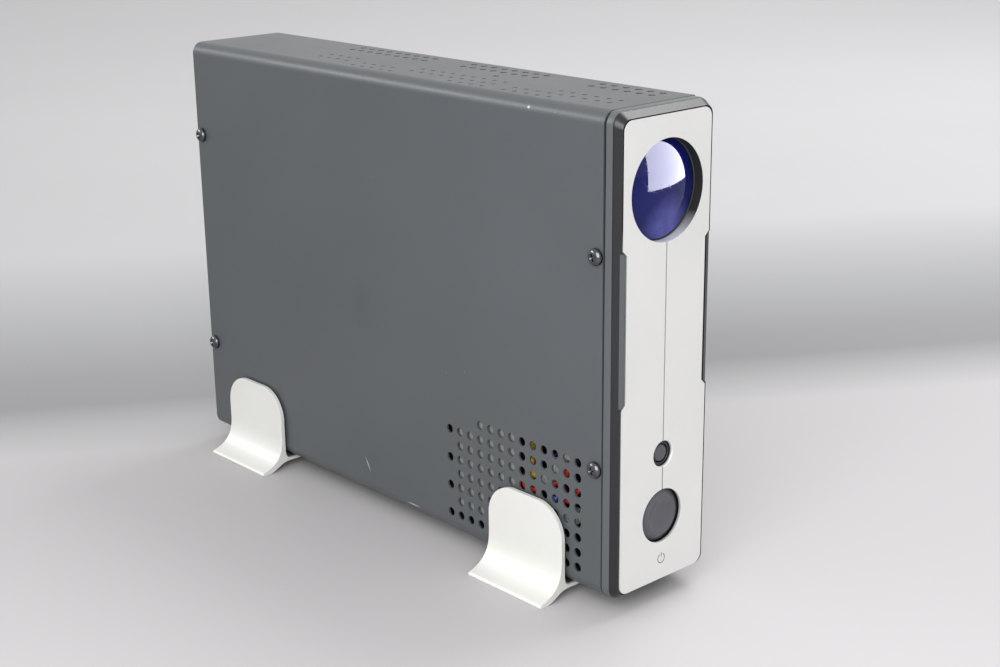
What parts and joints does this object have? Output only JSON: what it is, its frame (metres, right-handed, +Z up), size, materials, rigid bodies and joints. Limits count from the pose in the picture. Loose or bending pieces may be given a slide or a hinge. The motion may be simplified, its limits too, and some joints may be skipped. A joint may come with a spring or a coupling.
{
  "type": "desktop computer tower",
  "caption": "Slim upright desktop computer case: folded steel cover with vents, framed aluminium front plate with round lens and two push buttons, held in aluminium cradle stands.",
  "frame": {"origin": "on the floor under the middle of the footprint", "axes": "+Z up, the front plate faces -Y, the vented side of the cover faces -X"},
  "size_m": [0.0852, 0.29, 0.207],
  "materials": {
    "powder_coated_steel": "fine-textured dark grey powder coat",
    "zinc_plated_steel": "zinc-plated sheet steel",
    "black_plastic": "fine spark-textured black plastic",
    "satin_aluminium": "satin clear-anodised aluminium",
    "blue_lens": "polished deep blue plastic",
    "grey_plastic": "satin dark grey plastic",
    "rubber": "thin black rubber strip",
    "bright_steel": "nickel-plated steel",
    "spring_steel": "drawn spring wire",
    "circuit_board": "green solder mask over glass-fibre board",
    "anodised": "grey extruded or cast aluminium",
    "white_plastic": "natural white nylon",
    "brass": "turned brass",
    "red_insulation": "red wire insulation",
    "yellow_insulation": "yellow wire insulation",
    "blue_insulation": "blue wire insulation",
    "blue_plastic": "blue connector plastic"
  },
  "bodies": {
    "case": {"cover": "powder_coated_steel", "chassis_tray": "zinc_plated_steel", "front_bezel": "black_plastic", "front_plate": "satin_aluminium", "lens": "blue_lens", "receiver_board": "circuit_board", "front_board": "circuit_board", "power_button_spring": "spring_steel", "reset_button_spring": "spring_steel", "power_switch": "black_plastic", "reset_switch": "black_plastic", "front_stand": "satin_aluminium", "rear_stand": "satin_aluminium", "front_stand_liner": "rubber", "rear_stand_liner": "rubber", "motherboard": "circuit_board", "processor": "grey_plastic", "heatsink": "anodised", "fan_frame": "black_plastic", "memory_socket": "black_plastic", "memory_module": "circuit_board", "battery": "bright_steel", "io_shield": "zinc_plated_steel", "lan_usb_ports": "zinc_plated_steel", "video_port": "blue_plastic", "audio_jack": "black_plastic", "dc_inlet": "black_plastic", "dc_board": "circuit_board", "dc_board_post_front": "white_plastic", "dc_board_post_rear": "white_plastic", "dc_output_plug": "white_plastic", "board_power_plug": "white_plastic", "drive": "anodised", "drive_bracket": "zinc_plated_steel", "red_wire": "red_insulation", "yellow_wire": "yellow_insulation", "blue_wire": "blue_insulation", "cover_screw_front_upper": "bright_steel", "cover_screw_front_lower": "bright_steel", "cover_screw_rear_upper": "bright_steel", "cover_screw_rear_lower": "bright_steel", "bezel_screw_top": "bright_steel", "bezel_screw_bottom": "bright_steel", "front_board_screw_upper": "bright_steel", "front_board_screw_lower": "bright_steel", "bracket_screw_front": "bright_steel", "bracket_screw_rear": "bright_steel", "board_screw_1": "bright_steel", "board_screw_2": "bright_steel", "board_screw_3": "bright_steel", "board_screw_4": "bright_steel", "board_standoff_1": "brass", "board_standoff_2": "brass", "board_standoff_3": "brass", "board_standoff_4": "brass"},
    "power_button": {"power_button": "grey_plastic", "power_switch_plunger": "white_plastic"},
    "reset_button": {"reset_button": "grey_plastic", "reset_switch_plunger": "white_plastic"},
    "fan_rotor": {"fan_rotor": "black_plastic"}
  },
  "joints": [
    {"name": "power_button_press", "type": "slide", "parent": "case", "child": "power_button", "axis": [0, 1, 0], "range_m": [0, 0.0015], "stiffness_N_per_m": 400, "springref_m": -0.001, "deforming": ["power_button_spring"]},
    {"name": "reset_button_press", "type": "slide", "parent": "case", "child": "reset_button", "axis": [0, 1, 0], "range_m": [0, 0.0015], "stiffness_N_per_m": 250, "springref_m": -0.001, "deforming": ["reset_button_spring"]},
    {"name": "fan_spin", "type": "hinge", "parent": "case", "child": "fan_rotor", "pos_m": [-0.005, 0.0366, 0.1325], "axis": [1, 0, 0], "continuous": true}
  ]
}
